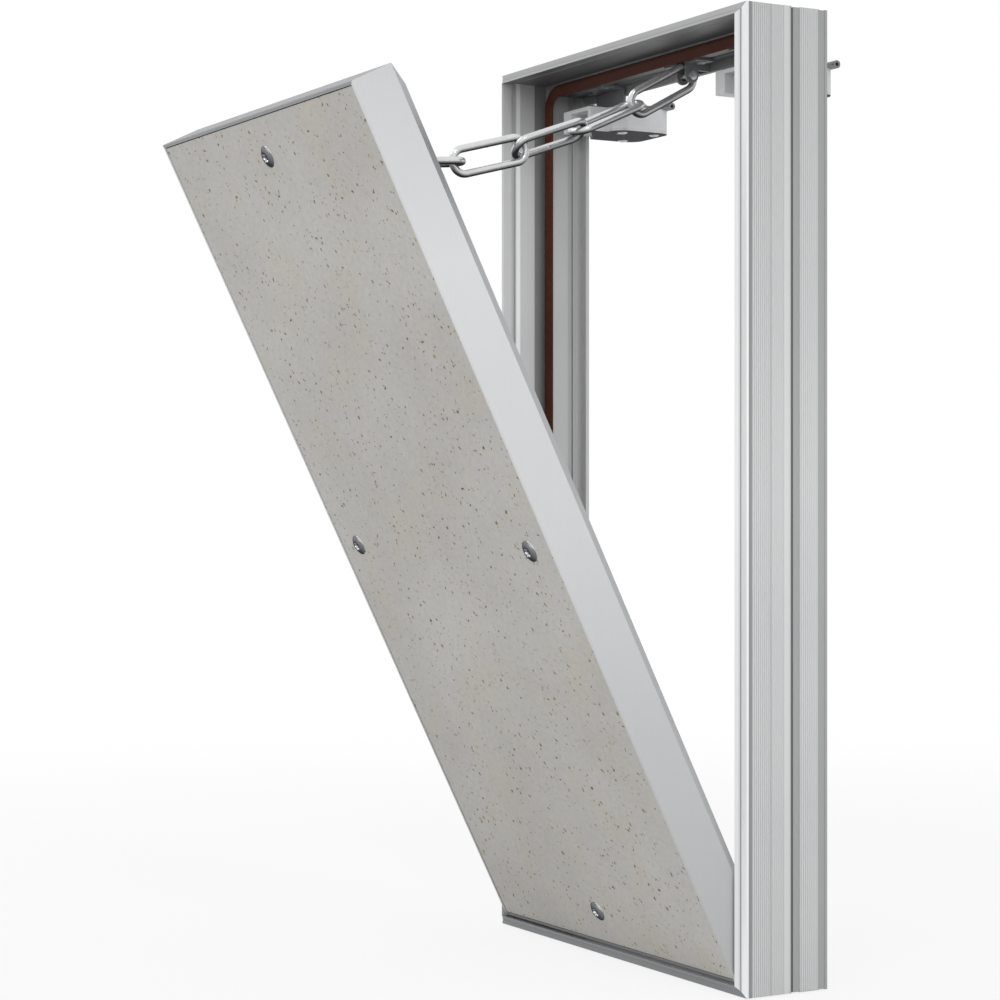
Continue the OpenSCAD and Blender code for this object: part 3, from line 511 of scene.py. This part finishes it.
halo, halo_kind = grains(cells=250.0, size=0.34, soft=0.3, keep=0.3, shift=2.9)
ground = over(t, halo, ground, shades(t, halo_kind, 0.3, halo_deep, 0.8, halo_pale))
dark, dark_kind = grains(cells=250.0, size=0.19, soft=0.5, keep=0.66, shift=2.9)
ground = over(t, dark, ground, shades(t, dark_kind, 0.5, grain_deep, 0.9, grain_pale))
speck, speck_kind = grains(cells=420.0, size=0.22, soft=0.5, keep=0.42, shift=1.7)
ground = over(t, speck, ground, shades(t, speck_kind, 0.3, speck_deep, 0.8, speck_pale))
t.links.new(ground, shader.inputs["Base Color"])
sanded = spread(t, cloud(t, at, 300.0, detail=2.0), 0.3, 0.7, 0.74, 0.9)
t.links.new(sanded, shader.inputs["Roughness"])
pits = t.nodes.new("ShaderNodeMath")
pits.operation = "SUBTRACT"
t.links.new(cloud(t, at, 700.0, rough=0.6), pits.inputs[0])
t.links.new(dark, pits.inputs[1])
relief(t, shader, pits.outputs[0], strength=0.25, depth=0.15 * mm)
dress(("facing_board",), board, board_edge)


# Board screws
# Four domed stainless screws that hold the board to the casing: a lens head with a thin rim, a
# six-lobed recess pressed into it, and a shank through the board.
def polished_metal(name, colour, rough, spots, metallic=0.92, painted_shade=None, shaded_way=downwards,
                   highlight_way=None):
    """Bright metal: a noise moves colour and roughness a little, and a finer one is the faint
    orange-peel of the plating. Where a painted_shade colour is given, faces that look the
    shaded_way take it as a painted shade, with less metal and more roughness; faces that look the
    highlight_way get a painted highlight."""
    m, t, shader, at = new_finish(name, metallic, specular=0.05 if painted_shade else 0.5)
    highlight_colour = (0.93, 0.935, 0.94)
    patch = cloud(t, at, spots)
    body = shades(t, patch, 0.3, [c * 0.9 for c in colour], 0.7, colour)
    gloss = spread(t, patch, 0.3, 0.7, rough, rough + 0.07)
    if painted_shade:
        shade_share = facing(t, shaded_way, 0.05, 0.7)
        body = over(t, shade_share, body, painted_shade)
        t.links.new(spread(t, shade_share, 0.0, 1.0, metallic, 0.0), shader.inputs["Metallic"])
        matt = t.nodes.new("ShaderNodeMath")
        matt.operation = "MULTIPLY_ADD"
        matt.inputs[1].default_value = 0.5
        t.links.new(shade_share, matt.inputs[0])
        t.links.new(gloss, matt.inputs[2])
        gloss = matt.outputs[0]
    if highlight_way:
        body = over(t, facing(t, highlight_way, 0.82, 0.93), body, highlight_colour)
    t.links.new(body, shader.inputs["Base Color"])
    t.links.new(gloss, shader.inputs["Roughness"])
    relief(t, shader, cloud(t, at, spots * 5.0, detail=2.0), strength=0.08, depth=0.03 * mm)
    return m


def fastener_places(name, axis, head_d):
    """Where each fastener of a node stands: the middle of its outline seen along the axis, at the
    height of its highest point. Points within a little over a head's width are one fastener."""
    v = np.empty(3 * len(nodes[name].data.vertices))
    nodes[name].data.vertices.foreach_get("co", v)
    v = v.reshape(-1, 3)
    height = v @ axis
    flat = v - np.outer(height, axis)
    left = np.ones(len(v), bool)
    places = []
    while left.any():
        first = flat[np.argmax(left)]
        mine = left & (np.linalg.norm(flat - first, axis=1) < head_d * 1.15)
        middle = (flat[mine].min(0) + flat[mine].max(0)) / 2
        places.append(middle + axis * height[mine].max())
        left &= ~mine
    return places


def turned_piece(name, axis, places, profile, wave, lobes, finish, body, replaced):
    """Pieces of revolution, one at each place. A profile point is a radius and a depth below the
    top, in millimetres; at angle a its radius is r (1 + w cos(lobes a)), w being its wave. The
    first and the last point are on the axis and close the ends."""
    steps = 60
    a = np.linspace(0, 2 * np.pi, steps, endpoint=False)
    side = np.cross(axis, (0.0, 0.0, 1.0) if abs(axis[2]) < 0.9 else (1.0, 0.0, 0.0))
    side /= np.linalg.norm(side)
    up = np.cross(axis, side)
    r, h = np.array(profile).T * mm
    ring = r[1:-1, None] * (1 + np.array(wave)[1:-1, None] * np.cos(lobes * a))
    wall = (ring[..., None] * (np.cos(a)[:, None] * side + np.sin(a)[:, None] * up)
            - h[1:-1, None, None] * axis)
    shape = np.concatenate([[-h[0] * axis], wall.reshape(-1, 3), [-h[-1] * axis]])
    i = np.arange(steps)
    j = (i + 1) % steps
    row = 1 + steps * np.arange(len(ring) - 1)[:, None]
    quads = np.stack([row + i, row + steps + i, row + steps + j, row + j], -1).reshape(-1, 4)
    last = len(shape) - 1
    caps = np.concatenate([np.stack([0 * i, 1 + i, 1 + j], -1),
                           np.stack([0 * i + last, last - steps + j, last - steps + i], -1)])
    verts, faces = [], []
    for number, top in enumerate(places):
        verts.append(shape + top)
        faces += (caps + number * len(shape)).tolist() + (quads + number * len(shape)).tolist()
    mesh = bpy.data.meshes.new(name)
    mesh.from_pydata(np.concatenate(verts).tolist(), [], faces)
    mesh.polygons.foreach_set("use_smooth", [True] * len(faces))
    mesh.materials.append(finish)
    piece = bpy.data.objects.new(name, mesh)
    scene.collection.objects.link(piece)
    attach(piece, body)
    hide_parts(replaced)


head_r, dome_r, head_h = 4.65, 7.4, 1.9
shank_r, tip_r, screw_end = 2.0, 1.2, 19.9
recess = [(0, 1.35), (0.6, 1.35), (1.35, 1.3), (1.5, 1.15), (1.7, 0.6), (2.05, 0.42)]
recess_wave = [0, 0.1, 0.16, 0.18, 0.18, 0.12]
dome = [(r, dome_r - math.sqrt(dome_r ** 2 - r ** 2)) for r in np.linspace(2.4, head_r - 0.25, 12)]
rim = [(head_r - 0.08, dome[-1][1] + 0.07), (head_r, dome[-1][1] + 0.2), (head_r, head_h)]
shank = [(shank_r, head_h), (shank_r, screw_end - 0.9), (tip_r, screw_end), (0, screw_end)]
screw_profile = recess + dome + rim + shank
screw_wave = recess_wave + [0.0] * (len(screw_profile) - len(recess))
# Painted light on the heads: the lower left faces take a near-black painted shade, and the upper
# right rim a painted highlight.
shaded_side = (-0.6, -0.35, -0.72)
highlight_side = (0.7, -0.64, 0.32)
stainless, shaded_stainless = (0.26, 0.27, 0.285), (0.03, 0.03, 0.033)
screw_steel = polished_metal("screw_stainless", stainless, rough=0.16, spots=260.0,
                             painted_shade=shaded_stainless, shaded_way=shaded_side, highlight_way=highlight_side)
turned_piece("board_screw_heads", leaf_front,
             fastener_places("board_screws", leaf_front, 2 * head_r * mm),
             screw_profile, screw_wave, lobes=6, finish=screw_steel, body="leaf",
             replaced="board_screws")


# Chain
# Five long links of polished round wire, each bent to a stadium and butt welded in the middle of
# one side; the weld is a low bead with a fine seam. Each hangs in the bend of the next.
def chain_link(name, finish):
    """Round wire along a stadium: a point goes round two half circles joined by straights, and a
    circle of radius r stands square to it. At the weld r grows by one bell curve, the bead, and
    shrinks by a narrower one, the seam."""
    v = np.empty(3 * len(nodes[name].data.vertices))
    nodes[name].data.vertices.foreach_get("co", v)
    v = v.reshape(-1, 3)
    middle = v.mean(0)
    axes = np.linalg.svd(v - middle, full_matrices=False)[2]
    spans = (v - middle) @ axes.T
    middle = middle + ((spans.max(0) + spans.min(0)) / 2) @ axes
    length, width, wire = spans.max(0) - spans.min(0)
    bend = (width - wire) / 2
    straight = length - wire - 2 * bend
    total = 2 * straight + 2 * math.pi * bend
    count, around = 220, 28
    s = np.linspace(0, total, count, endpoint=False)
    bow = math.pi * bend
    turn = np.select([s < straight, s < straight + bow, s < 2 * straight + bow],
                     [0 * s, (s - straight) / bend, 0 * s + math.pi],
                     (s - 2 * straight - bow) / bend + math.pi)
    along = np.select([s < straight, s < straight + bow, s < 2 * straight + bow],
                      [s - straight / 2, 0 * s + straight / 2, 1.5 * straight + bow - s],
                      0 * s - straight / 2)
    out = np.stack([np.sin(turn), -np.cos(turn)], 1)
    path = np.stack([along, 0 * s], 1) + bend * out
    bead_rise, bead_reach = 0.045, 0.45 * mm
    seam_dip, seam_reach = 0.02, 0.12 * mm
    from_weld = s - straight / 2
    swell = 1 + bead_rise * np.exp(-((from_weld / bead_reach) ** 2))
    swell -= seam_dip * np.exp(-((from_weld / seam_reach) ** 2))
    b = np.linspace(0, 2 * np.pi, around, endpoint=False)
    r = (wire / 2) * swell[:, None, None]
    flat = path[:, None, :] + r * np.cos(b)[:, None] * out[:, None, :]
    lift = np.broadcast_to(r[..., 0] * np.sin(b), (count, around))
    third = np.cross(axes[0], axes[1])
    points = (middle + flat[..., :1] * axes[0] + flat[..., 1:] * axes[1] + lift[..., None] * third)
    i = np.arange(count)[:, None]
    j = np.arange(around)[None, :]
    after = (i + 1) % count
    beside = (j + 1) % around
    quads = np.stack([i * around + j, after * around + j, after * around + beside,
                      i * around + beside], -1)
    mesh = bpy.data.meshes.new(name + "_wire")
    mesh.from_pydata(points.reshape(-1, 3).tolist(), [], quads.reshape(-1, 4).tolist())
    mesh.polygons.foreach_set("use_smooth", [True] * (count * around))
    mesh.materials.append(finish)
    piece = bpy.data.objects.new(name + "_wire", mesh)
    scene.collection.objects.link(piece)
    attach(piece, name)
    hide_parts(name)


# The wire's undersides carry a near-black painted shade, also on the leaf bail and the hanger pin
# below.
wire_bright, wire_shaded = (0.7, 0.703, 0.71), (0.035, 0.035, 0.038)
chain_steel = polished_metal("chain_steel", wire_bright, rough=0.15, spots=160.0, metallic=0.75,
                             painted_shade=wire_shaded)
for number in range(1, 6):
    chain_link("chain_link_%d" % number, chain_steel)

# Leaf bail and hanger pin
# The wire eye on the leaf and the cross pin under the head are of the same wire as the chain;
# the bail's legs are welded to a small plate, which two screws hold to the board.
wire_edge = 0.12 * mm
dress(("leaf_bail", "hanger_bar"), chain_steel, wire_edge)
pan_head_d = 5.2 * mm
pan_recess = [(0, 0.9), (0.35, 0.9), (0.75, 0.85), (0.95, 0.1), (1.1, 0.0)]
pan_recess_wave = [0, 0.3, 0.35, 0.35, 0.2]
pan_head = [(1.7, 0.12), (2.2, 0.4), (2.5, 0.8), (2.6, 1.2), (2.6, 1.5)]
pan_shank = [(1.5, 1.5), (1.5, 6.0), (0, 6.6)]
pan_profile = pan_recess + pan_head + pan_shank
pan_wave = pan_recess_wave + [0.0] * len(pan_head + pan_shank)
zinc_colour = (0.5, 0.505, 0.52)
small_screw_steel = polished_metal("small_screw_zinc", zinc_colour, rough=0.2, spots=300.0)
turned_piece("bail_screw_heads", leaf_back, fastener_places("bail_screws", leaf_back, pan_head_d),
             pan_profile, pan_wave, lobes=4, finish=small_screw_steel, body="leaf",
             replaced="bail_screws")

# Chain hanger and latch brackets
# Bent from zinc-plated sheet steel and riveted up to the head; the plating has gone grey, and the
# sheared edges are brighter than the faces.
grey_zinc, sheared_steel_and_highlight = (0.2, 0.202, 0.207), (0.66, 0.665, 0.68)
sheet_steel = polished_metal("sheet_zinc", grey_zinc, rough=0.45, spots=120.0, metallic=0.3)
# This bright edge finish also goes on the latch covers' rims, where it is a painted highlight.
sheared_edge_and_highlight = polished_metal("sheared_edge_and_highlight", sheared_steel_and_highlight, rough=0.24, spots=300.0)
sheet_edge = 0.2 * mm
dress(("chain_hanger", "latch_bracket_left", "latch_bracket_right"), sheet_steel, sheet_edge,
      angle=40, edge_finish=sheared_edge_and_highlight)

# Blind rivets
# Aluminium blind rivets: a domed flange with the broken mandrel sunk in its bore. They hold the
# hanger and the latch brackets to the head, and smaller ones hold the latch covers.
rivet_colour, cover_rivet_colour = (0.19, 0.192, 0.197), (0.5, 0.505, 0.52)
rivet_metal = polished_metal("rivet_aluminium", rivet_colour, rough=0.34, spots=300.0,
                             metallic=0.8)
cover_rivet_metal = polished_metal("cover_rivet_aluminium", cover_rivet_colour, rough=0.25,
                                   spots=300.0)
down = np.array(downwards)
mandrel_bore = [(0, 0.62), (0.3, 0.55), (0.55, 0.6), (0.62, 0.75), (0.7, 0.3), (0.85, 0.04)]
for name, node, flange_r, flange_h, body_r, body_l, metal in (
    ("hanger_rivet_heads", "hanger_rivets", 2.8, 0.8, 1.6, 3.3, rivet_metal),
    ("bracket_rivet_heads", "bracket_rivets", 2.8, 0.8, 1.6, 3.3, rivet_metal),
    ("latch_rivet_heads", "latch_rivets", 2.4, 0.7, 1.5, 6.2, cover_rivet_metal),
):
    flange = [(1.2, 0.0), (flange_r * 0.7, 0.12), (flange_r * 0.92, 0.38),
              (flange_r, flange_h - 0.15), (flange_r, flange_h)]
    rivet_profile = mandrel_bore + flange + [(body_r, flange_h), (body_r, body_l), (0, body_l)]
    turned_piece(name, down, fastener_places(node, down, 2 * flange_r * mm), rivet_profile,
                 wave=[0.0] * len(rivet_profile), lobes=1, finish=metal, body="frame",
                 replaced=node)

# Latch housings and plungers
# Light grey glass-filled mouldings with a fine spark-eroded grain; the plunger is off-white and
# slides in the housing's mouth.
def moulded(name, colour, rough):
    """Moulded plastic: a weak cloud in the colour and a fine grain in roughness and surface."""
    m, t, shader, at = new_finish(name, metallic=0.0, specular=0.4)
    body = shades(t, cloud(t, at, 60.0), 0.3, [c * 0.95 for c in colour], 0.7, colour)
    t.links.new(body, shader.inputs["Base Color"])
    grain = cloud(t, at, 2600.0, detail=2.0)
    t.links.new(spread(t, grain, 0.3, 0.7, rough - 0.05, rough + 0.07), shader.inputs["Roughness"])
    relief(t, shader, grain, strength=0.15, depth=0.05 * mm)
    return m


light_grey, off_white = (0.66, 0.667, 0.68), (0.66, 0.65, 0.62)
housing_grey = moulded("housing_plastic", light_grey, rough=0.42)
plunger_white = moulded("plunger_plastic", off_white, rough=0.45)
moulded_edge = 0.3 * mm
dress(("latch_housing_left", "latch_housing_right"), housing_grey, moulded_edge, segments=3,
      angle=40)
dress(("latch_plunger_left", "latch_plunger_right"), plunger_white, moulded_edge, segments=3,
      angle=40)

# Latch covers, catches, studs and pins
# Plain steel: the cover is a pressing; its underside carries a painted shade and its rounded edges
# a painted highlight. The catches, the striker studs and the leaf's stub pins are turned or stamped
# and left bare.
cover_bright, cover_shaded = (0.6, 0.605, 0.615), (0.1, 0.1, 0.104)
bare_colour = (0.26, 0.26, 0.267)
cover_steel = polished_metal("cover_steel", cover_bright, rough=0.3, spots=200.0, metallic=0.5,
                             painted_shade=cover_shaded)
bare_steel = polished_metal("bare_steel", bare_colour, rough=0.26, spots=240.0)
cover_edge = 0.22 * mm
turned_edge = 0.12 * mm
dress(("latch_cover_left", "latch_cover_right"), cover_steel, cover_edge, angle=40,
      edge_finish=sheared_edge_and_highlight)
dress(("strikers", "latch_catch_left", "latch_catch_right", "pivot_pins"), bare_steel,
      turned_edge, angle=40)

# Latch screws
# Small steel screws, zinc plated, with a pan head and a cross recess pressed into it. They are
# driven down through the bracket into the housing.
up = np.array([0.0, 0.0, 1.0])
turned_piece("latch_screw_heads", up, fastener_places("latch_screws", up, pan_head_d),
             pan_profile, pan_wave, lobes=4, finish=small_screw_steel, body="frame",
             replaced="latch_screws")

# Corner keys
# Cast zinc angles that join the mitred profiles from inside their chambers. They are a slip fit,
# held by staking, and stay matt and grey.
cast_zinc = (0.4, 0.4, 0.41)
key_metal = polished_metal("key_zinc", cast_zinc, rough=0.5, spots=150.0)
dress(("frame_corner_keys", "leaf_corner_keys"), key_metal, edge=0.0)
